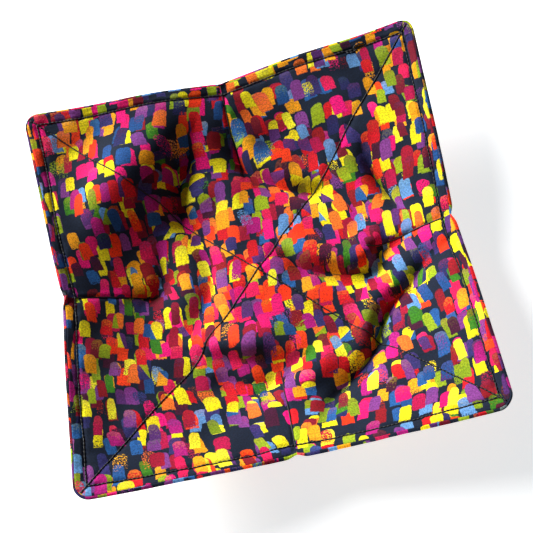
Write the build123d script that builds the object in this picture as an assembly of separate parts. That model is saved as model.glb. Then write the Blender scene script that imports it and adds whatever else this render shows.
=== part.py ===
"""Quilted bowl cozy: a reversible fabric holder that a hot bowl sits in.

Two squares of printed cotton, each quilted to its own square of batting along both
diagonals, have one dart sewn in the middle of every side. The two quilted squares are
sewn together round the rim, turned the right way out and topstitched. The darts turn the
flat squares into a shallow bowl whose four corners serve as grips.

Frame: millimetres, +Z up, origin under the middle of the base, sides along X and Y, front
at -Y. One eighth is described, from the +Y dart round to the +X +Y corner, and mirrored.
"""
import os
from math import asin, atan2, comb, cos, hypot, pi, sin, sqrt, tan

from build123d import *
from numpy import array, linalg

# --- Sewing ---------------------------------------------------------------------------
# Each panel is cut 228.6 square (nine inches). A dart takes 8.4 either side of a side's
# middle and is 57 deep, which leaves about 100 of finished rim from a dart to a corner.
SEAM = 6.35  # seam allowance, and the topstitching's distance from the rim

# --- Shape when it lies open on a table -------------------------------------------------
DART_REACH = 94.0  # plan distance from the middle to the rim at a dart
CORNER_REACH = 99.0  # plan distance to a corner along X and along Y, before rounding
DART_LIFT = 29.0  # height of the rim's underside at a dart
CORNER_LIFT = 45.0  # height of the rim's underside at a corner
BASE_REACH = 50.0  # plan distance to a corner of the flat base, where a dart points
CORNER_RADIUS = 8.0

# --- Layers, measured up from the outer face --------------------------------------------
COTTON = 0.5  # printed cotton
BATTING = 1.6  # cotton batting
THREAD = 0.2  # thickness of a sewn thread
THREAD_WIDTH = 0.4
LAYER_GAP = 0.05
THREAD_GAP = 0.02  # between a thread and the cloth or the thread next to it
GROOVE = THREAD + 2 * THREAD_GAP  # depth that a line of quilting pulls into a panel
SEAM_ROOM = 0.9  # between the battings, where the hidden threads run
SEAM_CLEAR = 0.1  # between a hidden thread and its batting

OUTER_BATTING_LOW = COTTON + LAYER_GAP
OUTER_BATTING_HIGH = OUTER_BATTING_LOW + BATTING
INNER_BATTING_LOW = OUTER_BATTING_HIGH + SEAM_ROOM
INNER_BATTING_HIGH = INNER_BATTING_LOW + BATTING
TOP = INNER_BATTING_HIGH + LAYER_GAP + COTTON
MIDDLE = TOP / 2
OUTER_BOBBIN_LOW = OUTER_BATTING_HIGH + SEAM_CLEAR
INNER_BOBBIN_LOW = INNER_BATTING_LOW - SEAM_CLEAR - THREAD

# --- Rim ---------------------------------------------------------------------------------
RIM_ROUNDING = 5.0  # distance over which the sandwich thins towards the rim
RIM_OPENING = 0.04  # from the middle of the sandwich to a panel, at the rim
BATTING_INSET = 1.6  # the batting stops this far inside the rim
RIM_SEAM_INSET = 0.9  # the hidden seam that joins the two panels
NEEDLE_INSET = 1.2  # a quilting needle thread ends this far inside a corner
GROOVE_INSET = 0.9
BOBBIN_INSET = 5.5  # a hidden thread ends this far inside the rim
OVERLAP_SPAN = (0.52, 0.74)  # topstitches sewn twice, as shares from dart to corner

ALONG, UP = 6, 7  # degrees of a curved face, along the rim and up the wall
NEAR = 1e-4  # parameter step for measuring slopes

SIDE_ANGLE = atan2(CORNER_REACH - DART_REACH, CORNER_REACH)
HALF_CORNER = pi / 4 - SIDE_ANGLE
STRAIGHT = hypot(CORNER_REACH, CORNER_REACH - DART_REACH) - CORNER_RADIUS / tan(HALF_CORNER)
TURN = pi / 2 - HALF_CORNER
CORNER_START = STRAIGHT / (STRAIGHT + CORNER_RADIUS * TURN)  # share where the rim bends
DIAGONAL = Plane(origin=(0, 0, 0), z_dir=(1, -1, 0))


# --- The reference surface: the outer face of the cozy -------------------------------------
def ease(x):
    """Goes smoothly from 0 to 1, level at both ends."""
    return x * x * (3 - 2 * x)


def outline(p):
    """The rim in plan, from the dart at p = 0 to the middle of the rounded corner at p = 1."""
    if p <= CORNER_START:
        distance = p / CORNER_START * STRAIGHT
        return distance * cos(SIDE_ANGLE), DART_REACH + distance * sin(SIDE_ANGLE)
    centre = CORNER_REACH - CORNER_RADIUS / sin(HALF_CORNER) / sqrt(2)
    angle = pi / 4 + TURN * (1 - p) / (1 - CORNER_START)
    return centre + CORNER_RADIUS * cos(angle), centre + CORNER_RADIUS * sin(angle)


def foot(p):
    """The edge of the flat base in plan, from a dart's point to the middle of the edge."""
    return BASE_REACH * p / 2, BASE_REACH * (1 - p / 2)


def run(p):
    """The distance of the base's edge inside the rim, nearly square to the rim."""
    x0, y0 = foot(p)
    x1, y1 = outline(p)
    bend = max(p - CORNER_START, 0) / (1 - CORNER_START)
    tangent = SIDE_ANGLE - TURN * ease(bend)
    return (y1 - y0) * cos(tangent) - (x1 - x0) * sin(tangent)


def wall(p, q):
    """A point of the wall's outer face: p from a dart to a corner, q from base to rim."""
    x0, y0 = foot(p)
    x1, y1 = outline(p)
    lift = DART_LIFT + (CORNER_LIFT - DART_LIFT) * sin(p * pi / 2)
    return Vector(x0 + (x1 - x0) * q, y0 + (y1 - y0) * q, lift * ease(q))


def outward(p, q):
    """The direction in which the layers are stacked, mitred on the planes of symmetry."""
    if q < NEAR:
        return Vector(0, 0, 1)
    p_low, p_high = max(p - NEAR, 0), min(p + NEAR, 1)
    q_high = min(q + NEAR, 1)
    along = wall(p_high, q) - wall(p_low, q)
    up = wall(p, q_high) - wall(p, q - NEAR)
    normal = along.cross(up).normalized()
    if p == 0:
        mitre = Vector(0, normal.Y, normal.Z)
        return mitre / mitre.dot(normal)
    if p == 1:
        mean = (normal.X + normal.Y) / 2
        return Vector(mean, mean, normal.Z)
    return normal


def level_at(level, inset):
    """A level of the stack where the sandwich thins, the panels keeping their thickness."""
    if inset >= RIM_ROUNDING:
        return level
    fullness = sqrt(1 - (1 - inset / RIM_ROUNDING) ** 2)
    filling = MIDDLE - COTTON
    room = RIM_OPENING + (filling - RIM_OPENING) * fullness
    away = abs(level - MIDDLE)
    if away >= filling:
        away -= filling - room
    elif away > RIM_OPENING:
        away = RIM_OPENING + (away - RIM_OPENING) * (room - RIM_OPENING) / (filling - RIM_OPENING)
    return MIDDLE + away if level > MIDDLE else MIDDLE - away


def stacked(p, inset, level):
    """A point of a level of the stack, at a distance inside the rim."""
    q = 1 - inset / run(p)
    return wall(p, q) + outward(p, q) * level_at(level, inset)


# --- Faces and solids ------------------------------------------------------------------------
def spread(low, high, steps):
    return [low + (high - low) * i / steps for i in range(steps + 1)]


def poles_from_points(degree):
    """The matrix that turns points on a Bezier curve, evenly by parameter, into its poles."""
    rows = []
    for t in spread(0, 1, degree):
        rows.append([comb(degree, k) * t**k * (1 - t) ** (degree - k) for k in range(degree + 1)])
    return linalg.inv(array(rows))


def face_through(rows):
    """The Bezier face that passes through rows of points."""
    grid = array([[tuple(point) for point in row] for row in rows]).transpose(2, 0, 1)
    poles = poles_from_points(grid.shape[1] - 1) @ grid @ poles_from_points(grid.shape[2] - 1).T
    net = poles.transpose(1, 2, 0).tolist()
    return Face.make_bezier_surface([[Vector(*pole) for pole in row] for row in net])


def curved_face(span, insets, level):
    """A face of one eighth, over a span of the rim. The insets at each p are a function of p."""
    return face_through(
        [[stacked(p, inset, level) for inset in insets(p)] for p in spread(*span, ALONG)]
    )


def edge_face(span, inset, low, high):
    """The face up and down the stack along part of the rim, at one distance inside it."""
    return face_through(
        [[stacked(p, inset, level) for level in (low, high)] for p in spread(*span, ALONG)]
    )


def wall_insets(p):
    """From the base up to where the sandwich starts to thin."""
    return spread(run(p), RIM_ROUNDING, UP)


def rim_insets(last):
    """Where the sandwich thins, closer together towards the rim, up to a last distance inside."""
    turn = asin(1 - last / RIM_ROUNDING)
    return lambda p: [RIM_ROUNDING * (1 - sin(angle)) for angle in spread(0, turn, UP)]


def ribbon_insets(inset, half_width):
    """Across a thread that runs parallel to the rim."""
    return lambda p: [inset + half_width, inset, inset - half_width]


def all_round(faces):
    """One eighth's faces mirrored to the whole."""
    quarter = faces + [face.mirror(DIAGONAL) for face in faces]
    half = quarter + [face.mirror(Plane.YZ) for face in quarter]
    return half + [face.mirror(Plane.XZ) for face in half]


def closed(faces):
    """The solid that a closed set of faces bounds."""
    solid = Solid(Shell(faces))
    if solid.volume < 0:
        solid = Solid(Shell(faces)).fix()
    return solid


def base_face(level):
    """The flat base: its corners at the darts' points, and a point wherever wall faces meet."""
    eighth = [foot(0), foot(CORNER_START), foot(1)]
    quarter = eighth + [(y, x) for x, y in reversed(eighth[:2])]
    half = quarter + [(x, -y) for x, y in reversed(quarter[:-1])]
    ring = half + [(-x, y) for x, y in reversed(half[1:-1])]
    return make_face(Polyline(*[(x, y, level) for x, y in ring], close=True)).face()


def layer(low, high, inset=0.0):
    """A sheet over the base and the walls, from one level of the stack to another."""
    faces = []
    for span in ((0.0, CORNER_START), (CORNER_START, 1.0)):
        for level in (low, high):
            faces.append(curved_face(span, wall_insets, level))
            faces.append(curved_face(span, rim_insets(inset), level))
        faces.append(edge_face(span, inset, low, high))
    return closed(all_round(faces) + [base_face(low), base_face(high)])


def ribbon_faces(span, low, high, inset, half_width, ends=()):
    """The faces of a flat thread along part of one eighth of the rim, closed at given ends."""
    insets = ribbon_insets(inset, half_width)
    faces = [curved_face(span, insets, level) for level in (low, high)]
    faces += [edge_face(span, inset + side * half_width, low, high) for side in (-1, 1)]
    for p in ends:
        faces.append(
            face_through([[stacked(p, away, level) for level in (low, high)] for away in insets(p)])
        )
    return faces


def rim_thread(low, high, inset):
    """A thread that runs right round, parallel to the rim."""
    faces = ribbon_faces((0.0, CORNER_START), low, high, inset, THREAD_WIDTH / 2)
    faces += ribbon_faces((CORNER_START, 1.0), low, high, inset, THREAD_WIDTH / 2)
    return closed(all_round(faces))


def strip_insets(p, last):
    """From the base's edge to a last distance inside the rim, closer together as it thins."""
    if last >= RIM_ROUNDING:
        return spread(run(p), last, 2 * UP)
    return spread(run(p), RIM_ROUNDING, 4 * UP) + rim_insets(last)(p)[1:]


def strip(p, inset, low, high, width, from_middle):
    """A slice of the stack at a dart (p = 0) or a corner (p = 1), turned to run along X."""
    sides = []
    for level in (low, high):
        climb = [stacked(p, away, level) for away in strip_insets(p, inset)]
        points = [Vector(hypot(point.X, point.Y), 0, point.Z) for point in climb]
        edges = [Edge.make_spline(points, tangents=[Vector(1, 0, 0), points[-1] - points[-2]])]
        if from_middle:
            edges.insert(0, Edge.make_line(Vector(0, 0, level), points[0]))
        sides.append(Wire(edges))
    ends = [Edge.make_line(sides[0].position_at(t), sides[1].position_at(t)) for t in (0, 1)]
    face = Face(Wire([*sides[0].edges(), *sides[1].edges(), *ends]))
    return extrude(face, amount=width / 2, dir=(0, 1, 0), both=True).solid()


def across_corners(angle, inset, low, high, width=THREAD_WIDTH):
    """A strip right across, from a corner to the opposite one."""
    half = strip(1, inset, low, high, width, True)
    whole = half.rotate(Axis.Z, angle).fuse(half.rotate(Axis.Z, angle + 180))
    return whole.clean().solid()


# --- The pieces --------------------------------------------------------------------------------
def grooved(panel, low, high):
    """A panel with the grooves that its two lines of quilting pull into it."""
    for angle in (45, 135):
        width = THREAD_WIDTH + 2 * THREAD_GAP
        panel = panel.cut(across_corners(angle, GROOVE_INSET, low, high, width))
    return panel.solid()


def panels_and_batting():
    return {
        "outer_panel": grooved(layer(0, COTTON), -1.0, GROOVE),
        "outer_batting": layer(OUTER_BATTING_LOW, OUTER_BATTING_HIGH, BATTING_INSET),
        "inner_batting": layer(INNER_BATTING_LOW, INNER_BATTING_HIGH, BATTING_INSET),
        "inner_panel": grooved(layer(TOP - COTTON, TOP), TOP - GROOVE, TOP + 1.0),
    }


def quilting_threads():
    """Two crossing lines on each quilted square. They flatten each other where they cross."""
    rows = (
        ("outer_quilting_needle_thread", THREAD_GAP, NEEDLE_INSET),
        ("outer_quilting_bobbin_thread", OUTER_BOBBIN_LOW, BOBBIN_INSET),
        ("inner_quilting_bobbin_thread", INNER_BOBBIN_LOW, BOBBIN_INSET),
        ("inner_quilting_needle_thread", TOP - THREAD_GAP - THREAD, NEEDLE_INSET),
    )
    half, beside = THREAD / 2, THREAD_WIDTH / 2 + 3 * THREAD_GAP
    threads = {}
    for name, low, inset in rows:
        for line, angle, side in ((1, 45, 1), (2, 135, -1)):
            thread = across_corners(angle, inset, low, low + THREAD)
            notch = Box(2 * beside, 2 * beside, half + THREAD_GAP).rotate(Axis.Z, 45)
            notch = notch.moved(Location((0, 0, low + half + side * half / 2)))
            threads[f"{name}_{line}"] = (thread - notch).solid()
    return threads


def dart_threads():
    """Each dart is sewn from the rim to its point, on both quilted squares."""
    sides = (("front", -90), ("right", 0), ("back", 90), ("left", 180))
    threads = {}
    for name, low in (("outer", OUTER_BOBBIN_LOW), ("inner", INNER_BOBBIN_LOW)):
        thread = strip(0, BOBBIN_INSET, low, low + THREAD, THREAD_WIDTH, False)
        for side, angle in sides:
            threads[f"{name}_dart_thread_{side}"] = thread.rotate(Axis.Z, angle)
    return threads


def rim_threads():
    """The hidden seam, and the topstitching with its overlap near the back right corner."""
    above = TOP + THREAD_GAP
    needle = rim_thread(above, above + THREAD, SEAM)
    faces = ribbon_faces(
        OVERLAP_SPAN, above + THREAD / 2, above + 2 * THREAD, SEAM, THREAD_WIDTH / 4, OVERLAP_SPAN
    )
    return {
        "rim_seam_thread": rim_thread(MIDDLE - THREAD, MIDDLE + THREAD, RIM_SEAM_INSET),
        "topstitch_bobbin_thread": rim_thread(-THREAD_GAP - THREAD, -THREAD_GAP, SEAM),
        "topstitch_needle_thread": needle.fuse(closed(faces)).solid(),
    }


def main():
    os.makedirs("parts", exist_ok=True)
    pieces = panels_and_batting() | quilting_threads() | dart_threads() | rim_threads()
    for name, solid in pieces.items():
        export_step(solid, f"parts/{name}.step")
        print(name, round(solid.volume, 1), "mm3, valid:", solid.is_valid)


main()
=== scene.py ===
"""Quilted bowl cozy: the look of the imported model, in metres in the CAD's frame."""

import math

import bpy
import numpy as np
from mathutils import Matrix, Vector


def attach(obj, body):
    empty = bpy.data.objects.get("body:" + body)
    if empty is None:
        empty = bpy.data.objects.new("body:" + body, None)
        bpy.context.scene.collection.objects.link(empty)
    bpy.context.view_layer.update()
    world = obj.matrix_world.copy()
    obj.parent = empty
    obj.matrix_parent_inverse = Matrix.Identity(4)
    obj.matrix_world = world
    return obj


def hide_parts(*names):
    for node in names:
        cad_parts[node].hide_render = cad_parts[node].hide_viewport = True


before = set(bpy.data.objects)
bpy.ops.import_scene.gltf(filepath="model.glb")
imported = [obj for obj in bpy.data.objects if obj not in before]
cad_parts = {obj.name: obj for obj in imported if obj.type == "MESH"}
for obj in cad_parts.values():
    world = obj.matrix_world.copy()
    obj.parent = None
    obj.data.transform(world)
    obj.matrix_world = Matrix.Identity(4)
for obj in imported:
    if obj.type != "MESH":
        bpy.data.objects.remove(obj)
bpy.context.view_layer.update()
MM = 0.001

# --- Camera, floor and light -----------------------------------------------------------
FIELD_OF_VIEW = math.radians(32.0)
CAMERA_TARGET = Vector((5.1, -5.0, 20.6)) * MM
CAMERA_DISTANCE = 457.0 * MM
CAMERA_AZIMUTH, CAMERA_TILT, CAMERA_ROLL = (math.radians(a) for a in (8.4, 19.8, 20.8))
FLOOR_SIZE = 4.0
KEY_PLACE, KEY_SIZE, KEY_POWER = (-0.86, 0.80, 0.70), 0.8, 44.0


def add_camera():
    """Looks down on the bowl from in front, tilted from straight down and rolled."""
    lean, away = math.sin(CAMERA_TILT), math.cos(CAMERA_TILT)
    back = Vector((math.sin(CAMERA_AZIMUTH) * lean, -math.cos(CAMERA_AZIMUTH) * lean, away))
    upright = Vector((-math.sin(CAMERA_AZIMUTH) * away, math.cos(CAMERA_AZIMUTH) * away, lean))
    up = upright * math.cos(CAMERA_ROLL) + (-back).cross(upright) * math.sin(CAMERA_ROLL)
    right = (-back).cross(up)
    camera = bpy.data.objects.new("camera", bpy.data.cameras.new("camera"))
    camera.data.angle = FIELD_OF_VIEW
    camera.data.clip_start = 0.01
    camera.matrix_world = Matrix((right, up, back)).transposed().to_4x4()
    camera.matrix_world.translation = CAMERA_TARGET + back * CAMERA_DISTANCE
    bpy.context.scene.collection.objects.link(camera)
    bpy.context.scene.camera = camera


def add_light(name, place, size, power):
    light = bpy.data.lights.new(name, "AREA")
    light.shape = "DISK"
    light.size = size
    light.energy = power
    lamp = bpy.data.objects.new(name, light)
    lamp.location = place
    lamp.rotation_euler = (-Vector(place)).to_track_quat("-Z", "Y").to_euler()
    bpy.context.scene.collection.objects.link(lamp)


def add_studio():
    bpy.ops.mesh.primitive_plane_add(size=FLOOR_SIZE, location=(0, 0, 0))
    floor = bpy.context.object
    floor.name = "floor"
    material = bpy.data.materials.new("floor")
    material.use_nodes = True
    shader = material.node_tree.nodes["Principled BSDF"]
    shader.inputs["Base Color"].default_value = (0.86, 0.86, 0.86, 1.0)
    shader.inputs["Roughness"].default_value = 0.6
    shader.inputs["Emission Color"].default_value = (0.95, 0.98, 1.0, 1.0)
    shader.inputs["Emission Strength"].default_value = 0.72
    floor.data.materials.append(material)
    world = bpy.data.worlds.new("world")
    world.use_nodes = True
    background = world.node_tree.nodes["Background"]
    background.inputs["Color"].default_value = (0.92, 0.96, 1.0, 1.0)
    background.inputs["Strength"].default_value = 0.09
    bpy.context.scene.world = world
    add_light("key", KEY_PLACE, KEY_SIZE, KEY_POWER)
    bpy.context.scene.view_settings.view_transform = "Standard"


# --- The sewn cloth as it lies, in millimetres until the meshes are made ------------------
HALF_SIDE = 107.95  # half of a finished side, laid flat, before the darts
DART_HALF_WIDTH = 7.5  # at the finished rim
DART_DEPTH = 51.0
DART_POINT = HALF_SIDE - DART_DEPTH  # its distance from the middle
HALF_THICK = 2.1  # from the middle of the sandwich to a face
GRID = 96  # cells along a side before the last refinement
SHEAR_STIFFNESS = 0.35  # of the diagonal springs, against 1 for those along the grid
LINE_STIFFNESS = 0.6  # of the rim and the dart seams
GRAVITY, TIME_STEP = 1500.0, 0.008  # for the settling only
KEPT_SPEED = 0.93  # after each step
TABLE_GRIP = 0.6  # share of that speed left to what lies on the table


def dart_width(t):
    """How far a dart's stitching line is from the middle line of its side, 0 beyond its point."""
    return DART_HALF_WIDTH * np.clip((np.abs(t) * HALF_SIDE - DART_POINT) / DART_DEPTH, 0, None)


def flat_place(s, t):
    """Where a point of a quadrant lies on the flat cloth. s, t: 0 in the middle, 1 at the rim."""
    wide_s, wide_t = dart_width(t), dart_width(s)
    u = wide_s + np.abs(s) * (HALF_SIDE - wide_s)
    v = wide_t + np.abs(t) * (HALF_SIDE - wide_t)
    return u, v


def rest_length(s0, t0, s1, t1):
    u0, v0 = flat_place(s0, t0)
    u1, v1 = flat_place(s1, t1)
    return np.hypot(u1 - u0, v1 - v0)


class Cloth:
    """A square net of points that keeps the lengths it was cut to and resists bending."""

    def __init__(self, places):
        self.p = places
        self.n = places.shape[0] - 1
        share = np.linspace(-1, 1, self.n + 1)
        s, t = np.meshgrid(share, share, indexing="ij")
        self.s, self.t = s, t
        self.springs = []
        self.reaches = (1, 2) if self.n < 80 else (1, 2, 4)
        for di, dj in ((1, 0), (0, 1), (1, 1), (1, -1)):
            a, b = self.pair(di, dj)
            rest = rest_length(s[a], t[a], s[b], t[b])
            for phase in (0, 1):
                if di:
                    pick = (slice(phase, None, 2), slice(None))
                else:
                    pick = (slice(None), slice(phase, None, 2))
                stiff = 1.0 if di * dj == 0 else SHEAR_STIFFNESS
                self.springs.append((a, b, pick, rest[pick][..., None], stiff))
        beyond = np.abs(share) * HALF_SIDE > DART_POINT
        self.crease_s = np.where((np.abs(s) < 1e-9) & beyond[None, :], 0.0, 1.0)[1:-1, :, None]
        self.crease_t = np.where((np.abs(t) < 1e-9) & beyond[:, None], 0.0, 1.0)[:, 1:-1, None]

    def pair(self, di, dj):
        n = self.n + 1
        if dj >= 0:
            return (slice(0, n - di), slice(0, n - dj)), (slice(di, n), slice(dj, n))
        return (slice(0, n - di), slice(-dj, n)), (slice(di, n), slice(0, n + dj))

    def sweep(self, bend, stretch=1.0):
        p = self.p
        for a, b, pick, rest, stiff in self.springs:
            pa, pb = p[a][pick], p[b][pick]
            d = pb - pa
            length = np.sqrt(np.einsum("ijk,ijk->ij", d, d))[..., None]
            d *= (0.5 * stiff * stretch) * (1 - rest / np.maximum(length, 1e-6))
            pa += d
            pb -= d
        for axis, crease in ((0, self.crease_s), (1, self.crease_t)):
            q = p if axis == 0 else p.swapaxes(0, 1)
            weight = crease if axis == 0 else crease.swapaxes(0, 1)
            for reach in self.reaches:
                w = weight[reach - 1 : len(weight) - reach + 1] * (bend / 6)
                d = (q[: -2 * reach] - 2 * q[reach:-reach] + q[2 * reach :]) * w
                q[reach:-reach] += 2 * d
                q[: -2 * reach] -= d
                q[2 * reach :] -= d

    def stiffen_lines(self, stiff):
        """The rim and the dart seams, where many layers are sewn together, stay nearly straight."""
        half, point = self.n // 2, round(self.n / 2 * DART_POINT / HALF_SIDE)
        lines = []
        for q in (self.p, self.p.swapaxes(0, 1)):
            for edge in (0, -1):
                lines += [q[edge, : half + 1], q[edge, half:]]
            lines += [q[half, : half - point + 1], q[half, half + point :]]
        for line in lines:
            for reach in (1, 2, 4, 8):
                if len(line) > 2 * reach:
                    d = (line[: -2 * reach] - 2 * line[reach:-reach] + line[2 * reach :]) * (stiff / 6)
                    line[reach:-reach] += 2 * d
                    line[: -2 * reach] -= d
                    line[2 * reach :] -= d

    def settle(self, steps, sweeps, bend, pins):
        v = np.zeros_like(self.p)
        for _ in range(steps):
            before = self.p.copy()
            v[..., 2] -= GRAVITY * TIME_STEP
            self.p += v * TIME_STEP
            for _ in range(sweeps):
                self.sweep(bend)
                self.stiffen_lines(LINE_STIFFNESS)
                for i, j, place, pull in pins:
                    self.p[i, j] += pull * (place - self.p[i, j])
                np.maximum(self.p[..., 2], HALF_THICK, out=self.p[..., 2])
            v = (self.p - before) / TIME_STEP * KEPT_SPEED
            low = self.p[..., 2] <= HALF_THICK + 0.01
            v[low] *= TABLE_GRIP

    def refined(self):
        """The same cloth with twice as many cells, through cubic curves."""
        q = self.p
        for axis in (0, 1):
            q = np.moveaxis(q, axis, 0)
            ends = np.concatenate([2 * q[:1] - q[1:2], q, 2 * q[-1:] - q[-2:-1]])
            middle = (-ends[:-3] + 9 * ends[1:-2] + 9 * ends[2:-1] - ends[3:]) / 16
            out = np.empty((2 * q.shape[0] - 1,) + q.shape[1:])
            out[0::2] = q
            out[1::2] = middle
            q = np.moveaxis(out, 0, axis)
        return Cloth(np.ascontiguousarray(q))


# What holds the cloth while it settles: a place on the sewn square, and where that place lies in
# the frame, in mm. These go back to points on the photograph that scratch scripts carried into mm,
# and were moved by eye since (see report.md, open fault).
RIM_PINS = (
    (-1, -1, -97.0, -99.5, 46.0),
    (0, -1, 1.5, -97.0, 26.0),
    (1, -1, 98.0, -99.0, 43.0),
    (1, 0, 96.5, -1.5, 25.0),
    (1, 1, 104.0, 100.5, 46.0),
    (0, 1, 1.5, 94.0, 28.0),
    (-1, 1, -101.5, 97.0, 41.0),
    (-1, 0, -92.5, 1.0, 28.0),
)
DART_PINS = (
    (0, -0.53, 2.8, -52.0, 6.0),
    (0.53, 0, 55.0, -4.0, 7.0),
    (0, 0.53, 1.2, 47.0, 6.0),
    (-0.53, 0, -53.0, -4.0, 6.0),
    (0, 0, -4.3, -0.5, 5.0),
)


def make_pins(cloth, rows, pull):
    half = cloth.n / 2
    return [
        (round(half * (1 + s)), round(half * (1 + t)), np.array((x, y, z)), pull)
        for s, t, x, y, z in rows
    ]


RIM_PULL, DART_PULL = 0.5, 0.3  # how firmly the two sets hold
FIRST_REACH, FIRST_FLAT = 97.0, 0.45  # half a side of the first rough bowl, and its flat share
FIRST_BASE, FIRST_RIM, FIRST_CORNER = 4.0, 27.0, 16.0  # heights: base, rim, more at the corners
FIRST_RIPPLE, FIRST_RIPPLE_LENGTH = 3.0, 50.0


def first_shape(n):
    """A rough bowl to start settling from."""
    share = np.linspace(-1, 1, n + 1)
    s, t = np.meshgrid(share, share, indexing="ij")
    reach = np.maximum(np.abs(s), np.abs(t))
    lift = np.clip((reach - FIRST_FLAT) / (1 - FIRST_FLAT), 0, 1)
    lift = lift * lift * (3 - 2 * lift)
    ripple = FIRST_RIPPLE * (1 - lift) * np.cos(2 * math.pi * t * FIRST_REACH / FIRST_RIPPLE_LENGTH)
    corner = np.minimum(np.abs(s), np.abs(t)) / np.maximum(reach, 1e-6)
    z = HALF_THICK + FIRST_BASE + ripple + lift * (FIRST_RIM + FIRST_CORNER * corner)
    return np.stack([FIRST_REACH * s, FIRST_REACH * t, z], -1)


# Folds: height, softness to the left and to the right of the line, and the line. In mm. All of the
# lines but the last go back to points on the photograph that a scratch script carried into mm,
# some moved since (see report.md, open fault). The heights and softnesses are given one by one.
FOLDS = (
    (-5.5, 3.5, 7.0, ((1, 68), (4, 57), (9, 50), (16, 44), (26, 38), (38, 33))),
    (3.5, 7.0, 3.5, ((5, 70), (11, 59), (18, 52), (27, 44), (39, 39))),
    (-6.5, 7.0, 5.0, ((66, 44), (69, 33), (74, 22), (79, 12))),
    (-5.5, 8.0, 3.5, ((76, -3), (63, -5), (57, -12), (47, -14), (35, -11), (23, -5), (16, 2))),
    (3.5, 3.5, 8.0, ((62, 4), (50, -7), (37, -4), (25, 2), (18, 9))),
    (-5.2, 8.0, 5.0, ((87, -16), (80, -20), (71, -27), (61, -33), (54, -41), (50, -50), (42, -60),
                      (27, -72), (19, -79))),
    (2.4, 4.5, 7.0, ((72, -23), (59, -29), (49, -38), (43, -49), (35, -58))),
    (-8.0, 9.0, 7.0, ((-22, 74), (-29, 64), (-34, 52), (-34, 39), (-28, 25))),
    (-4.5, 5.0, 7.0, ((-64, -2), (-56, -3), (-51, 3), (-48, 8), (-49, 16))),
    (-3.0, 8.0, 8.0, ((-24, 16), (-25, 0), (-30, -12), (-38, -26))),
    (5.5, 10.0, 5.0, ((-36, -34), (-23, -36), (-13, -39), (-4, -41), (7, -46))),
    (-4.5, 7.0, 9.0, ((-34, -50), (-26, -56), (-17, -60), (-7, -60), (1, -56))),
    (4.0, 8.0, 8.0, ((7, -62), (19, -58), (31, -50))),
    (3.0, 9.0, 9.0, ((-50, 40), (-12, 46), (-4, 24))),
)
BASE_LIFT = 5.5  # how far the folds hold the middle off the table
BASE_REACH = 62.0  # how far from the middle that lift goes
FOLD_LEAN = 0.6  # how far the cloth leans over its creases
FOLD_GAIN, FOLD_NARROWING = 1.55, 0.85  # on all heights and softnesses
FADE_POWER = 0.6  # the smaller, the more abruptly a fold ends
LINE_STEPS = 60
SLOPE_STEP = 0.5
SETTLE_STEPS, SETTLE_SWEEPS, SETTLE_BEND = 60, 14, 0.3
SLIDES, SLIDE_SWEEPS, SLIDE_BEND, SLIDE_STRETCH = 5, 12, 0.02, 0.5
EASE_SWEEPS, EASE_BEND, EASE_STRETCH = 2, 0.04, 0.15


# Flared wings: where the wall turns outwards (mm from the middle, degrees round), how much
# higher it stands there, and how far round and in and out that reaches.
WINGS = (
    (81.0, 134.0, 21.0, 31.0, 20.0),
    (86.0, 47.0, 12.0, 30.0, 22.0),
    (86.0, -45.0, 8.0, 28.0, 22.0),
    (86.0, -136.0, 9.0, 30.0, 22.0),
)


def wing_height(x, y):
    """How much higher the wings stand at a place in plan."""
    total = np.zeros_like(x)
    reach, turn = np.hypot(x, y), np.degrees(np.arctan2(y, x))
    for distance, angle, height, spread, width in WINGS:
        off = (turn - angle + 180) % 360 - 180
        total += height * np.exp(-((reach - distance) / width) ** 2 - (off / spread) ** 2)
    return total


def along_line(points):
    """A smooth line through points, evenly by parameter."""
    points = np.array(points, float)
    where = np.linspace(0, len(points) - 1, LINE_STEPS)
    padded = np.concatenate([2 * points[:1] - points[1:2], points, 2 * points[-1:] - points[-2:-1]])
    k = np.minimum(where.astype(int), len(points) - 2)
    f = (where - k)[:, None]
    p0, p1, p2, p3 = padded[k], padded[k + 1], padded[k + 2], padded[k + 3]
    return 0.5 * (2 * p1 + (p2 - p0) * f + (2 * p0 - 5 * p1 + 4 * p2 - p3) * f**2
                  + (3 * p1 - p0 - 3 * p2 + p3) * f**3)


def fold_height(x, y):
    """How far the folds lift or lower a place in plan."""
    total = np.zeros_like(x)
    for height, left, right, points in FOLDS:
        line = along_line(points)
        step = np.gradient(line, axis=0)
        dx, dy = x[..., None] - line[:, 0], y[..., None] - line[:, 1]
        away2 = dx * dx + dy * dy
        k = away2.argmin(-1)
        near = np.take_along_axis(away2, k[..., None], -1)[..., 0]
        side = np.take_along_axis(step[:, 0] * dy - step[:, 1] * dx, k[..., None], -1)[..., 0]
        width = FOLD_NARROWING * np.where(side > 0, left, right)
        fade = np.sin(math.pi * (k + 3) / (len(line) + 5)) ** FADE_POWER
        total += FOLD_GAIN * height * fade * np.exp(-near / width**2)
    return total


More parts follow.
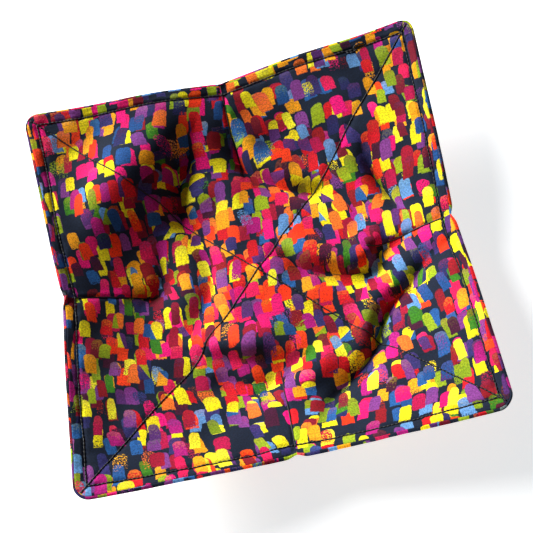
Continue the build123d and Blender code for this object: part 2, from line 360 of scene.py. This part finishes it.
def settle_cloth():
    """The middle surface: a settled bowl, then its folds and wings, then the slide into them."""
    cloth = Cloth(first_shape(GRID // 2))
    pins = make_pins(cloth, RIM_PINS, RIM_PULL) + make_pins(cloth, DART_PINS, DART_PULL)
    cloth.settle(SETTLE_STEPS, SETTLE_SWEEPS, SETTLE_BEND, pins)
    cloth = cloth.refined()
    reach = np.hypot(cloth.p[..., 0], cloth.p[..., 1])
    cloth.p[..., 2] += BASE_LIFT * np.exp(-((reach / BASE_REACH) ** 4))
    cloth = cloth.refined()
    x, y = cloth.p[..., 0], cloth.p[..., 1]
    rise = fold_height(x, y)
    slope_x = (fold_height(x + SLOPE_STEP, y) - rise) / SLOPE_STEP
    slope_y = (fold_height(x, y + SLOPE_STEP) - rise) / SLOPE_STEP
    cloth.p[..., 2] += rise + wing_height(x, y)
    cloth.p[..., 0] -= FOLD_LEAN * slope_x
    cloth.p[..., 1] -= FOLD_LEAN * slope_y
    # The cloth slides sideways into its folds, so that the print is stretched less over them.
    rim = np.ones(x.shape, bool)
    rim[1:-1, 1:-1] = False
    smooth_z = cloth.p[..., 2] - rise
    for _ in range(SLIDES):
        height = smooth_z + fold_height(cloth.p[..., 0], cloth.p[..., 1])
        for _ in range(SLIDE_SWEEPS):
            held = cloth.p[rim]
            cloth.sweep(SLIDE_BEND, SLIDE_STRETCH)
            cloth.p[rim] = held
            cloth.p[..., 2] = height
    np.maximum(cloth.p[..., 2], HALF_THICK, out=cloth.p[..., 2])
    for _ in range(EASE_SWEEPS):
        cloth.sweep(EASE_BEND, EASE_STRETCH)
    return cloth


# --- Surfaces of the sandwich ---------------------------------------------------------------
CORNER_RADIUS = 8.0  # of the turned corners, flat
SEAM_ROLL = 0.9  # the edge seam lies this far in from the outline, on the inner face
EDGE_ROUND = 2.0  # distance over which the rim is rounded
TOPSTITCH = 6.35  # distance of the topstitching inside the rim
COTTON = 0.35  # thickness of the printed cotton
# Depth and width of each groove of stitching, and of the wider hollow round it.
RIM_HOLLOW = (0.75, 4.0)
TOPSTITCH_GROOVE, TOPSTITCH_HOLLOW = (0.65, 1.1), (0.45, 4.5)
QUILTING_GROOVE, QUILTING_HOLLOW = (0.5, 1.2), (0.55, 7.0)
DART_GROOVE, DART_HOLLOW = (1.1, 0.9), (0.7, 4.5)
DART_FADE = 1.5  # length over which a dart's groove begins
PUCKER_DEPTH, PUCKER_LENGTH = 0.16, 6.5
QUILTING_PUCKER, DART_PUCKER = 0.6, 0.9  # against 1 at the topstitching
LOFT_DEPTH, LOFT_LENGTH = 0.22, 19.0
THINNEST = 0.56  # half thickness in the deepest groove
SEAM_BAND, RIM_BAND = 4.2, 96.5  # the net is closer within the one and beyond the other
SEAM_LINES, WALL_LINES, RIM_LINES = 8, 76, 20
TABLE_GAP = 0.02  # the cloth stays this far above the table
EDGE_TURNS = (0.12, 0.35, 0.65, 1.0)  # rows of the outer panel's turn onto the inner face
EDGE_PROUD = 0.03  # how far that turn stands off the inner face at its end
BATTING_INSET, BATTING_GAP = 3.0, 0.05  # from the rim and from the middle
BATTING_CLEARANCE, BATTING_LEAST = 0.35, 0.12  # to the cotton, and its least thickness


class Sandwich:
    """The settled middle surface, read anywhere on the flat cloth."""

    def __init__(self, cloth):
        self.n = cloth.n
        p = cloth.p
        along, across = np.gradient(p, axis=0), np.gradient(p, axis=1)
        normal = np.cross(along, across)
        for _ in range(3):
            padded = np.pad(normal, ((1, 1), (1, 1), (0, 0)), mode="edge")
            normal = (padded[:-2, 1:-1] + padded[2:, 1:-1] + padded[1:-1, :-2] + padded[1:-1, 2:]
                      + 2 * normal) / 6
        normal /= np.linalg.norm(normal, axis=-1, keepdims=True)
        self.field = np.concatenate([p, normal], -1)

    def read(self, x, y):
        """Place and normal at flat distances from the middle, by cubic interpolation."""
        where = [np.clip((v / HALF_SIDE + 1) * self.n / 2, 0, self.n - 1e-6) for v in (x, y)]
        cell = [np.clip(w.astype(int), 1, self.n - 2) for w in where]
        weights = []
        for w, k in zip(where, cell):
            f = w - k
            weights.append((
                ((-0.5 * f + 1.0) * f - 0.5) * f,
                (1.5 * f - 2.5) * f * f + 1.0,
                ((-1.5 * f + 2.0) * f + 0.5) * f,
                (0.5 * f - 0.5) * f * f,
            ))
        total = 0.0
        for i in range(4):
            for j in range(4):
                share = (weights[0][i] * weights[1][j])[..., None]
                total = total + share * self.field[cell[0] + i - 1, cell[1] + j - 1]
        normal = total[..., 3:]
        return total[..., :3], normal / np.linalg.norm(normal, axis=-1, keepdims=True)


def rounded(x, y, inset):
    """Square places drawn in to the rounded outline at an inset from the finished rim."""
    reach, radius = HALF_SIDE - inset, max(CORNER_RADIUS - inset, 0.5)
    scale = reach / HALF_SIDE
    x, y = x * scale, y * scale
    a = np.clip((np.abs(x) - (reach - radius)) / radius, 0, 1)
    b = np.clip((np.abs(y) - (reach - radius)) / radius, 0, 1)
    both = (a > 0) & (b > 0)
    shrink = np.where(both, np.maximum(a, b) / np.maximum(np.hypot(a, b), 1e-9), 1.0)
    corner = reach - radius
    return (
        np.where(both, np.sign(x) * (corner + a * radius * shrink), x),
        np.where(both, np.sign(y) * (corner + b * radius * shrink), y),
    )


def from_rim(x, y):
    """Distance inside the finished, rounded rim on the flat cloth."""
    corner = HALF_SIDE - CORNER_RADIUS
    a, b = np.abs(x) - corner, np.abs(y) - corner
    both = (a > 0) & (b > 0)
    return np.where(both, CORNER_RADIUS - np.hypot(a, b), HALF_SIDE - np.maximum(np.abs(x), np.abs(y)))


def dip(distance, width):
    """1 on a line of stitching, falling smoothly to 0 away from it."""
    return np.exp(-((distance / width) ** 2))


def waves(x, y, length, seed):
    """Gentle unevenness: a few sine waves of about one length, in fixed random directions."""
    draw = np.random.default_rng(seed)
    total = np.zeros_like(x)
    for _ in range(7):
        turn, shift = draw.uniform(0, 2 * math.pi, 2)
        k = 2 * math.pi / (length * draw.uniform(0.75, 1.35))
        total += np.sin(k * (x * math.cos(turn) + y * math.sin(turn)) + shift)
    return total / 7**0.5


def fullness(x, y, side):
    """Half thickness of the sandwich at a flat place, towards the inner (1) or outer (-1) face."""
    rim = from_rim(x, y)
    edge = np.sqrt(np.clip(1 - (1 - np.clip(rim / EDGE_ROUND, 0, 1)) ** 2, 0, 1))
    full = edge * (HALF_THICK - RIM_HOLLOW[0] * dip(rim, RIM_HOLLOW[1]))
    stitched = dip(rim - TOPSTITCH, TOPSTITCH_GROOVE[1])
    near_stitches = dip(rim - TOPSTITCH, TOPSTITCH_HOLLOW[1])
    diagonal = np.abs(np.abs(x) - np.abs(y)) / math.sqrt(2)
    quilted, near_quilting = dip(diagonal, QUILTING_GROOVE[1]), dip(diagonal, QUILTING_HOLLOW[1])
    low, high = np.minimum(np.abs(x), np.abs(y)), np.maximum(np.abs(x), np.abs(y))
    in_dart = 1 / (1 + np.exp(-(high - DART_POINT + 1) / DART_FADE))
    darted, near_dart = in_dart * dip(low, DART_GROOVE[1]), in_dart * dip(low, DART_HOLLOW[1])
    full -= edge * (TOPSTITCH_GROOVE[0] * stitched + TOPSTITCH_HOLLOW[0] * near_stitches)
    full -= edge * (QUILTING_GROOVE[0] * quilted + QUILTING_HOLLOW[0] * near_quilting)
    full -= edge * (DART_GROOVE[0] * darted + DART_HOLLOW[0] * near_dart)
    pucker = near_stitches + QUILTING_PUCKER * near_quilting + DART_PUCKER * near_dart
    full += edge * PUCKER_DEPTH * pucker * waves(x, y, PUCKER_LENGTH, 11 + side)
    full += edge * LOFT_DEPTH * waves(x, y, LOFT_LENGTH, 23 + side)
    return np.maximum(full, THINNEST)


def face_point(sandwich, x, y, side, rise=0.0):
    """A point on a face of the sandwich, or that far outside it."""
    place, normal = sandwich.read(x, y)
    return place + normal * (side * (fullness(x, y, side) + rise))[..., None]


def net_lines():
    """Grid lines from the middle to the rim: closer at the dart seams and at the rim."""
    half = np.concatenate([
        np.linspace(0, SEAM_BAND, SEAM_LINES)[:-1],
        np.linspace(SEAM_BAND, RIM_BAND, WALL_LINES)[:-1],
        np.linspace(RIM_BAND, HALF_SIDE, RIM_LINES),
    ])
    return np.concatenate([-half[:0:-1], half])


def flat_uv(x, y, quadrant_x, quadrant_y):
    """Where a sewn place was on the flat cloth, seen from one side of any dart line."""
    s, t = np.abs(x) / HALF_SIDE, np.abs(y) / HALF_SIDE
    u, v = flat_place(s, t)
    return np.stack([quadrant_x * u, quadrant_y * v], -1)


def make_mesh(name, points, faces, uvs=None):
    """A mesh in metres from points in mm. Faces is a list, uvs an array of one pair per corner."""
    mesh = bpy.data.meshes.new(name)
    mesh.from_pydata((points * MM).tolist(), [], faces)
    mesh.polygons.foreach_set("use_smooth", np.ones(len(faces), bool))
    if uvs is not None:
        layer = mesh.uv_layers.new(name="cut")
        layer.data.foreach_set("uv", (uvs * MM).astype(np.float32).ravel())
    mesh.update()
    thing = bpy.data.objects.new(name, mesh)
    bpy.context.scene.collection.objects.link(thing)
    return thing


def grid_faces(n, m, start=0, flip=False):
    index = start + np.arange(n * m).reshape(n, m)
    corners = [index[:-1, :-1], index[1:, :-1], index[1:, 1:], index[:-1, 1:]]
    return np.stack(corners[::-1] if flip else corners, -1).reshape(-1, 4)


def border(n):
    """Vertex numbers right round an n by n grid, anticlockwise from the first corner."""
    index = np.arange(n * n).reshape(n, n)
    return np.concatenate([index[:-1, 0], index[-1, :-1], index[:0:-1, -1], index[0, :0:-1]])


def loop_faces(low, high):
    return np.stack([low, np.roll(low, -1), np.roll(high, -1), high], -1)


def panel(name, sandwich, side):
    """A printed panel: its face, the underside one cotton thickness in, and its turned edge."""
    lines = net_lines()
    n = len(lines)
    gx, gy = np.meshgrid(lines, lines, indexing="ij")
    inset = SEAM_ROLL if side > 0 else 0.0
    x, y = rounded(gx, gy, inset)
    ring = border(n)
    points = []
    for depth in (0.0, -COTTON):
        layer = face_point(sandwich, x, y, side, depth).reshape(-1, 3)
        layer[:, 2] = np.maximum(layer[:, 2], TABLE_GAP - depth)
        points.append(layer)
    flat = np.stack([x, y], -1).reshape(-1, 2)
    places = [flat, flat]
    count = n * n
    faces = [grid_faces(n, n, 0, side < 0), grid_faces(n, n, count, side > 0)]
    if side > 0:
        wall = loop_faces(ring, ring + count)
    else:
        rows = []
        for share in EDGE_TURNS:
            rx, ry = rounded(gx.ravel()[ring], gy.ravel()[ring], SEAM_ROLL * share)
            for depth in (EDGE_PROUD * share, -COTTON):
                rows.append(face_point(sandwich, rx, ry, 1, depth))
                places.append(np.stack([rx, ry], -1))
        points += rows
        numbers = [2 * count + k * len(ring) + np.arange(len(ring)) for k in range(len(rows))]
        outside = [ring] + numbers[0::2]
        inside = [ring + count] + numbers[1::2]
        wall = np.concatenate(
            [loop_faces(b, a) for a, b in zip(outside, outside[1:])]
            + [loop_faces(a, b) for a, b in zip(inside, inside[1:])]
            + [loop_faces(inside[-1], outside[-1])]
        )
    points, places = np.concatenate(points), np.concatenate(places)
    faces = np.concatenate(faces + [wall[:, ::-1] if side > 0 else wall])
    corner = places[faces]
    middle = corner.mean(1, keepdims=True)
    uvs = flat_uv(corner[..., 0], corner[..., 1], np.sign(middle[..., 0]), np.sign(middle[..., 1]))
    return make_mesh(name, points, faces.tolist(), uvs)


def batting(name, sandwich, side):
    """Wadding that fills the sandwich from the middle to its panel."""
    lines = net_lines()[::2]
    n = len(lines)
    gx, gy = np.meshgrid(lines, lines, indexing="ij")
    x, y = rounded(gx, gy, BATTING_INSET)
    place, normal = sandwich.read(x, y)
    full = fullness(x, y, side)
    inner = place + normal * (side * BATTING_GAP)
    full = np.maximum(full - COTTON - BATTING_CLEARANCE, BATTING_LEAST)
    outer = place + normal * (side * full)[..., None]
    ring = border(n)
    wall = loop_faces(ring, ring + n * n)
    faces = np.concatenate([
        grid_faces(n, n, 0, side > 0),
        grid_faces(n, n, n * n, side < 0),
        wall if side > 0 else wall[:, ::-1],
    ])
    points = np.concatenate([inner.reshape(-1, 3), outer.reshape(-1, 3)])
    return make_mesh(name, points, faces.tolist())


# --- Threads -----------------------------------------------------------------------------------
STITCH = 2.1
THREAD_RADIUS, THREAD_SIDES = 0.33, 6
STEPS = 7  # points along each stitch
STITCH_WANDER, STITCH_SINK, STITCH_ARCH = 0.05, 0.02, 0.36
LEG_POINTS = 120  # along each side of the rim
BESIDE = 0.45  # how far at most a second pass lies from the first
TANGLE_LENGTH, TANGLE_WIDTH = 2.2, 0.9
QUILTING_INSET, DART_THREAD_INSET, RIM_SEAM_INSET = 3.4, 5.0, 1.4  # from the rim
QUILTING_LEVEL, DART_LEVEL, RIM_LEVEL = 0.3, 0.7, 0.2  # hidden threads, from the middle surface
BRIDGE_LIFT = 0.2  # for the quilting line whose groove the mesh bridges


def tube(name, path, closed=False):
    """A thread along a path in mm, with flat ends."""
    if closed:
        tangent = np.roll(path, -1, 0) - np.roll(path, 1, 0)
    else:
        tangent = np.gradient(path, axis=0)
    tangent /= np.linalg.norm(tangent, axis=-1, keepdims=True)
    aside = np.cross(tangent, (0.0, 0.0, 1.0))
    aside /= np.maximum(np.linalg.norm(aside, axis=-1, keepdims=True), 1e-6)
    above = np.cross(aside, tangent)
    turns = np.arange(THREAD_SIDES) * 2 * math.pi / THREAD_SIDES
    ring = aside[:, None] * np.cos(turns)[:, None] + above[:, None] * np.sin(turns)[:, None]
    points = (path[:, None] + THREAD_RADIUS * ring).reshape(-1, 3)
    index = np.arange(len(points)).reshape(-1, THREAD_SIDES)
    after = np.roll(index, -1, 0) if closed else index[1:]
    before = index if closed else index[:-1]
    quads = np.stack([before, after, np.roll(after, -1, 1), np.roll(before, -1, 1)], -1)
    faces = quads.reshape(-1, 4).tolist()
    if not closed:
        faces += [index[0].tolist(), index[-1, ::-1].tolist()]
    return make_mesh(name, points, faces)


def stitched_path(sandwich, x, y, side, closed=False, lift=0.0):
    """A path of stitches on a face: each lies along the cloth and dives in at both ends."""
    gap = np.hypot(np.diff(x), np.diff(y))
    length = np.concatenate([[0], np.cumsum(gap)])
    stitches = round(length[-1] / STITCH)
    at = np.linspace(0, length[-1], stitches * STEPS + 1)
    if closed:
        at = at[:-1]
    px, py = np.interp(at, length, x), np.interp(at, length, y)
    phase = (np.arange(len(at)) % STEPS) / STEPS
    arch = np.abs(np.sin(math.pi * phase)) ** 0.5
    draw = np.random.default_rng(int(length[-1] * 10) + side)
    wander = np.repeat(draw.normal(0, STITCH_WANDER, stitches + 1), STEPS)[: len(at)]
    rise = lift - STITCH_SINK + arch * STITCH_ARCH
    return face_point(sandwich, px + wander, py + wander, side, rise)


def rim_route(inset):
    """A closed flat route parallel to the rim, its corners turned with the needle down."""
    reach = HALF_SIDE - inset
    corners = [(-1, -1), (1, -1), (1, 1), (-1, 1), (-1, -1)]
    legs = []
    share = np.linspace(0, 1, LEG_POINTS)[:-1]
    for (x0, y0), (x1, y1) in zip(corners, corners[1:]):
        legs.append(np.stack([reach * (x0 + (x1 - x0) * share), reach * (y0 + (y1 - y0) * share)], -1))
    route = np.concatenate(legs + [legs[0][:1]])
    return route[:, 0], route[:, 1]


def topstitch_route():
    """Right round from the back edge, over its own start, then caught in a small tangle of loops."""
    reach = HALF_SIDE - TOPSTITCH
    start, end, tangle = 64.0, 80.0, 70.0
    corners = [(reach, reach), (reach, -reach), (-reach, -reach), (-reach, reach)]
    stops = [(start, reach)] + corners + [(start, reach)]
    x, y = [], []
    share = np.linspace(0, 1, LEG_POINTS)[:-1]
    for (x0, y0), (x1, y1) in zip(stops, stops[1:]):
        x.append(x0 + (x1 - x0) * share)
        y.append(y0 + (y1 - y0) * share)
        if (x1, y1) == (reach, -reach):
            turn = np.linspace(0, 4 * math.pi, 24)
            x.append(reach + BESIDE * np.sin(turn))
            y.append(-reach + BESIDE * np.cos(turn))
    share = np.linspace(0, 1, 40)
    x.append(start + (end - start) * share)
    y.append(reach + BESIDE * np.sin(share * 9.0))
    turn = np.linspace(0, 5 * math.pi, 80)
    x.append(end + (tangle - end) * turn / turn[-1] + TANGLE_LENGTH * np.sin(turn))
    y.append(reach + TANGLE_WIDTH * (1 - np.cos(turn)) * np.sin(0.37 * turn + 0.4))
    return np.concatenate(x), np.concatenate(y)


def diagonal_route(turn):
    """From corner to corner, for turn 1 or -1."""
    reach = (HALF_SIDE - QUILTING_INSET) * np.linspace(-1, 1, 300)
    return reach, reach * turn


def dart_route(angle):
    """From a dart's point out to the rim."""
    reach = np.linspace(DART_POINT, HALF_SIDE - DART_THREAD_INSET, 60)
    return reach * math.cos(angle), reach * math.sin(angle)


def hidden_path(sandwich, x, y, level):
    """A path inside the sandwich, that far from its middle surface."""
    place, normal = sandwich.read(x, y)
    return place + normal * level


# --- Materials ------------------------------------------------------------------------------------
class Shader:
    """A material being built from nodes, with short ways to add them."""

    def __init__(self, name):
        self.material = bpy.data.materials.new(name)
        self.material.use_nodes = True
        self.tree = self.material.node_tree

    def add(self, kind, inputs=(), **settings):
        node = self.tree.nodes.new(kind)
        for key, value in settings.items():
            setattr(node, key, value)
        for key, value in dict(inputs).items():
            self.put(node.inputs[key], value)
        return node

    def put(self, socket, value):
        if isinstance(value, bpy.types.NodeSocket):
            self.tree.links.new(value, socket)
        else:
            socket.default_value = value

    def math(self, operation, *values):
        return self.add("ShaderNodeMath", dict(enumerate(values)), operation=operation).outputs[0]

    def vector_math(self, operation, *values):
        node = self.add("ShaderNodeVectorMath", dict(enumerate(values)), operation=operation)
        return node.outputs[0]

    def grey(self, value):
        return self.add("ShaderNodeCombineColor", {0: value, 1: value, 2: value}).outputs[0]

    def vector(self, x, y, z):
        return self.add("ShaderNodeCombineXYZ", {0: x, 1: y, 2: z}).outputs[0]

    def noise(self, where, scale, detail=2.0, roughness=0.5):
        node = self.add("ShaderNodeTexNoise", {"Vector": where, "Scale": scale, "Detail": detail,
                                               "Roughness": roughness})
        return node.outputs[0]

    def random(self, where):
        """Three random numbers for a cell, as separate values."""
        node = self.add("ShaderNodeTexWhiteNoise", {"Vector": where}, noise_dimensions="3D")
        split = self.add("ShaderNodeSeparateColor", {0: node.outputs["Color"]})
        return split.outputs[0], split.outputs[1], split.outputs[2]

    def ramp(self, value, stops):
        node = self.add("ShaderNodeValToRGB", {0: value})
        node.color_ramp.interpolation = "CONSTANT"
        elements = node.color_ramp.elements
        elements[0].position, elements[0].color = 0.0, stops[0]
        elements.remove(elements[1])
        for k, color in enumerate(stops[1:], 1):
            elements.new(k / len(stops)).color = color
        return node.outputs[0]

    def smooth(self, value, low, high, to_low=0.0, to_high=1.0):
        node = self.add("ShaderNodeMapRange", {0: value, 1: low, 2: high, 3: to_low, 4: to_high},
                        interpolation_type="SMOOTHSTEP")
        return node.outputs[0]

    def mix(self, share, a, b, blend="MIX"):
        node = self.add("ShaderNodeMix", data_type="RGBA", blend_type=blend)
        self.put(node.inputs[0], share)
        self.put(node.inputs[6], a)
        self.put(node.inputs[7], b)
        return node.outputs[2]


def paint(text):
    """A colour from its usual six-digit name, as the shader wants it."""
    channels = [int(text[k : k + 2], 16) / 255 for k in (0, 2, 4)]
    return tuple(c / 12.92 if c <= 0.04045 else ((c + 0.055) / 1.055) ** 2.4 for c in channels) + (1.0,)


PAINTS = [paint(c) for c in (
    "ec1280", "c4105c", "e01c30", "8a1438", "fa1690", "b01042", "ff5620", "e8206a", "a2182c", "8e4a98",
    "581440", "c0208c", "ff4a12", "fcea14", "f6b016", "d8122c", "6c3c82", "fcf024", "fa8836", "a8bc20",
    "46407e", "faec1c", "3270ac", "ffb626", "96509c", "94aa20", "74a4d4", "fcf440", "4c9026", "34366e",
    "28609a", "a6bc2c",
)]
GROUND = paint("1a2c44")
# Layers of dabs, the lowest first: width and height of a dab's cell in mm, and the share in use.
DAB_LAYERS = (
    (8.3, 13.0, 0.66),
    (9.0, 13.6, 0.60),
    (8.6, 12.4, 0.56),
    (9.8, 14.2, 0.60),
    (9.3, 14.6, 0.56),
)
DAB_HALF_WIDTH = (2.25, 1.25)  # the least, and how much more at most
DAB_HALF_HEIGHT = (3.6, 2.0)


def dab_layer(b, x, y, grain, dry, middle, under, layer, wide, tall, share):
    """One layer of brush dabs over the colour under it: loose columns of arched strokes."""
    gx = b.math("ADD", b.math("DIVIDE", x, wide), 0.37 * layer + 11.0)
    column = b.math("FLOOR", gx)
    shift, tip, _ = b.random(b.vector(column, 3.1 * layer, 5.0))
    gy = b.math("ADD", b.math("DIVIDE", y, tall), b.math("ADD", shift, 0.61 * layer + 9.0))
    row = b.math("FLOOR", gy)
    hue, across, along = b.random(b.vector(column, row, 1.7 * layer))
    width, height, there = b.random(b.vector(row, column, 2.3 * layer + 40.0))
    dryness, second, slant = b.random(b.vector(column, row, 3.9 * layer + 80.0))
    fy = b.math("MULTIPLY", b.math("ADD", b.math("SUBTRACT", b.math("FRACT", gy), 0.5),
                                   b.math("MULTIPLY", b.math("SUBTRACT", along, 0.5), 0.25)), tall)
    fx = b.math("MULTIPLY", b.math("ADD", b.math("SUBTRACT", b.math("FRACT", gx), 0.5),
                                   b.math("MULTIPLY", b.math("SUBTRACT", across, 0.5), 0.3)), wide)
    fx = b.math("ADD", fx, b.math("MULTIPLY", fy, b.math("MULTIPLY", b.math("SUBTRACT", slant, 0.5), 0.35)))
    half = b.math("ADD", DAB_HALF_WIDTH[0], b.math("MULTIPLY", width, DAB_HALF_WIDTH[1]))
    px = b.math("DIVIDE", b.math("ABSOLUTE", fx), half)
    half = b.math("ADD", DAB_HALF_HEIGHT[0], b.math("MULTIPLY", height, DAB_HALF_HEIGHT[1]))
    py = b.math("DIVIDE", fy, half)
    top = b.math("DIVIDE", b.math("MAXIMUM", b.math("SUBTRACT", py, 0.4), 0.0), 0.6)
    arch = b.math("SQRT", b.math("ADD", b.math("POWER", px, 2.6), b.math("MULTIPLY", top, top)))
    edge = b.math("MAXIMUM", arch, b.math("MULTIPLY", py, -1.0))
    low = b.math("MULTIPLY", b.math("MAXIMUM", b.math("MULTIPLY", py, -1.0), 0.0), 0.22)
    edge = b.math("ADD", edge, b.math("MULTIPLY", b.math("SUBTRACT", grain, 0.5), b.math("ADD", 0.1, low)))
    solid = b.smooth(edge, 0.955, 1.0, 1.0, 0.0)
    dry_edge = b.smooth(dryness, 0.78, 1.0, 0.22, 0.54)
    dry_edge = b.math("ADD", dry_edge, b.math("MULTIPLY", low, 0.5))
    covered = b.smooth(b.math("SUBTRACT", dry, dry_edge), -0.03, 0.03)
    present = b.math("LESS_THAN", there, b.math("ADD", b.math("MULTIPLY", middle, 0.2), share))
    mask = b.math("MULTIPLY", b.math("MULTIPLY", solid, covered), present)
    # Towards the middle of the bowl the hues shift to the pinks and reds at the start of the list.
    shifted = b.math("MULTIPLY", middle, b.math("MULTIPLY", tip, 0.28))
    hue = b.math("MULTIPLY", hue, b.math("SUBTRACT", 1.0, shifted))
    color = b.ramp(hue, PAINTS)
    other = b.ramp(second, PAINTS[5:] + PAINTS[:5])
    blush = b.math("MULTIPLY", b.smooth(b.math("ADD", grain, b.math("MULTIPLY", py, 0.2)), 0.5, 0.62), 0.25)
    color = b.mix(b.math("MULTIPLY", blush, tip), color, other)
    rim = b.smooth(edge, 0.84, 0.97, 1.0, 0.84)
    body = b.math("MULTIPLY", rim, b.math("ADD", 0.70, b.math("MULTIPLY", dry, 0.66)))
    color = b.mix(1.0, color, b.grey(body), "MULTIPLY")
    return b.mix(mask, under, color)


def print_cotton(name, shift):
    """Printed quilting cotton: overlapping brush dabs in loose columns on a dark ground."""
    b = Shader(name)
    shader = b.tree.nodes["Principled BSDF"]
    place = b.add("ShaderNodeUVMap", uv_map="cut").outputs[0]
    mm = b.vector_math("MULTIPLY", place, (1000.0, 1000.0, 1000.0))
    mm = b.vector_math("ADD", mm, (shift[0], shift[1], 0.0))
    drift = b.add("ShaderNodeTexNoise", {"Vector": mm, "Scale": 0.04, "Detail": 1.0})
    wobble = b.add("ShaderNodeTexNoise", {"Vector": mm, "Scale": 0.42, "Detail": 2.0})
    bent = b.vector_math("MULTIPLY_ADD", drift.outputs["Color"], (5.0, 5.0, 0.0), mm)
    bent = b.vector_math("MULTIPLY_ADD", wobble.outputs["Color"], (1.2, 1.2, 0.0), bent)
    split = b.add("ShaderNodeSeparateXYZ", {0: bent})
    x, y = split.outputs[0], split.outputs[1]
    grain = b.noise(mm, 1.0, 3.0, 0.6)
    dry = b.noise(mm, 1.25, 3.0, 0.75)
    out = b.add("ShaderNodeVectorMath", {0: place}, operation="LENGTH").outputs["Value"]
    middle = b.smooth(out, 0.035, 0.095, 1.0, 0.0)
    color = GROUND
    for layer, (wide, tall, share) in enumerate(DAB_LAYERS, 1):
        color = dab_layer(b, x, y, grain, dry, middle, color, layer, wide, tall, share)
    speck = b.noise(mm, 1.15, 2.0, 0.8)
    tone = b.smooth(speck, 0.36, 0.64, 0.66, 1.20)
    color = b.add("ShaderNodeGamma", {0: color, 1: 1.24}).outputs[0]
    color = b.mix(1.0, color, b.grey(tone), "MULTIPLY")
    b.put(shader.inputs["Base Color"], color)
    shader.inputs["Roughness"].default_value = 0.82
    shader.inputs["Specular IOR Level"].default_value = 0.25
    shader.inputs["Sheen Weight"].default_value = 0.05
    shader.inputs["Sheen Roughness"].default_value = 0.5
    warp = b.add("ShaderNodeTexWave", {"Vector": mm, "Scale": 1.0, "Distortion": 0.6, "Detail": 1.0},
                 bands_direction="X").outputs[1]
    weft = b.add("ShaderNodeTexWave", {"Vector": mm, "Scale": 1.0, "Distortion": 0.6, "Detail": 1.0},
                 bands_direction="Y").outputs[1]
    weave = b.math("MAXIMUM", warp, weft)
    height = b.math("ADD", b.math("MULTIPLY", weave, 0.4), b.math("MULTIPLY", b.noise(mm, 0.9, 3.0), 0.9))
    bump = b.add("ShaderNodeBump", {"Strength": 0.35, "Distance": 0.00025, "Height": height})
    b.put(shader.inputs["Normal"], bump.outputs[0])
    return b.material


def thread_material():
    b = Shader("thread")
    shader = b.tree.nodes["Principled BSDF"]
    where = b.add("ShaderNodeTexCoord").outputs["Object"]
    fluff = b.noise(where, 2600.0, 3.0, 0.6)
    twist = b.add("ShaderNodeTexWave", {"Vector": where, "Scale": 900.0, "Distortion": 1.0},
                  bands_direction="DIAGONAL").outputs[1]
    b.put(shader.inputs["Base Color"], b.mix(fluff, paint("06060a"), paint("18181e")))
    shader.inputs["Roughness"].default_value = 0.55
    bump = b.add("ShaderNodeBump", {"Strength": 0.4, "Distance": 0.00006, "Height": twist})
    b.put(shader.inputs["Normal"], bump.outputs[0])
    return b.material


def batting_material():
    b = Shader("batting")
    shader = b.tree.nodes["Principled BSDF"]
    where = b.add("ShaderNodeTexCoord").outputs["Object"]
    fluff = b.noise(where, 700.0, 5.0, 0.65)
    b.put(shader.inputs["Base Color"], b.mix(fluff, paint("d8d2c4"), paint("f6f2e8")))
    shader.inputs["Roughness"].default_value = 0.95
    shader.inputs["Sheen Weight"].default_value = 0.4
    bump = b.add("ShaderNodeBump", {"Strength": 0.6, "Distance": 0.0004, "Height": fluff})
    b.put(shader.inputs["Normal"], bump.outputs[0])
    return b.material


# --- The pieces ---------------------------------------------------------------------------------------
def place_piece(thing, nodes, material):
    thing.data.materials.append(material)
    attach(thing, "root")
    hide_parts(*nodes)


def add_pieces():
    sandwich = Sandwich(settle_cloth())
    thread = thread_material()
    wadding = batting_material()
    for name, side, shift in (("inner", 1, (340.0, 210.0)), ("outer", -1, (655.0, 87.0))):
        cotton = panel(name + "_cotton", sandwich, side)
        place_piece(cotton, [name + "_panel"], print_cotton(name + "_print", shift))
        wad = batting(name + "_wadding", sandwich, side)
        place_piece(wad, [name + "_batting"], wadding)
        for number, turn in ((1, 1), (2, -1)):
            x, y = diagonal_route(turn)
            # The mesh's quads split along one diagonal, and across the other they bridge its groove.
            lift = 0.0 if turn == side else BRIDGE_LIFT
            path = stitched_path(sandwich, x, y, side, lift=lift)
            quilting = tube(f"{name}_quilting_{number}", path)
            place_piece(quilting, [f"{name}_quilting_needle_thread_{number}"], thread)
            path = hidden_path(sandwich, x, y, side * QUILTING_LEVEL)
            back = tube(f"{name}_quilting_bobbin_{number}", path)
            place_piece(back, [f"{name}_quilting_bobbin_thread_{number}"], thread)
        for where, angle in (("front", -90), ("right", 0), ("back", 90), ("left", 180)):
            x, y = dart_route(math.radians(angle))
            seam = tube(f"{name}_dart_{where}", hidden_path(sandwich, x, y, side * DART_LEVEL))
            place_piece(seam, [f"{name}_dart_thread_{where}"], thread)
    top = tube("topstitch", stitched_path(sandwich, *topstitch_route(), 1))
    place_piece(top, ["topstitch_needle_thread"], thread)
    x, y = rim_route(TOPSTITCH)
    below = tube("topstitch_bobbin", stitched_path(sandwich, x, y, -1, closed=True), closed=True)
    place_piece(below, ["topstitch_bobbin_thread"], thread)
    x, y = rounded(*rim_route(0.0), RIM_SEAM_INSET)
    rim = tube("rim_seam", hidden_path(sandwich, x, y, RIM_LEVEL)[:-1], closed=True)
    place_piece(rim, ["rim_seam_thread"], thread)


add_camera()
add_studio()
add_pieces()
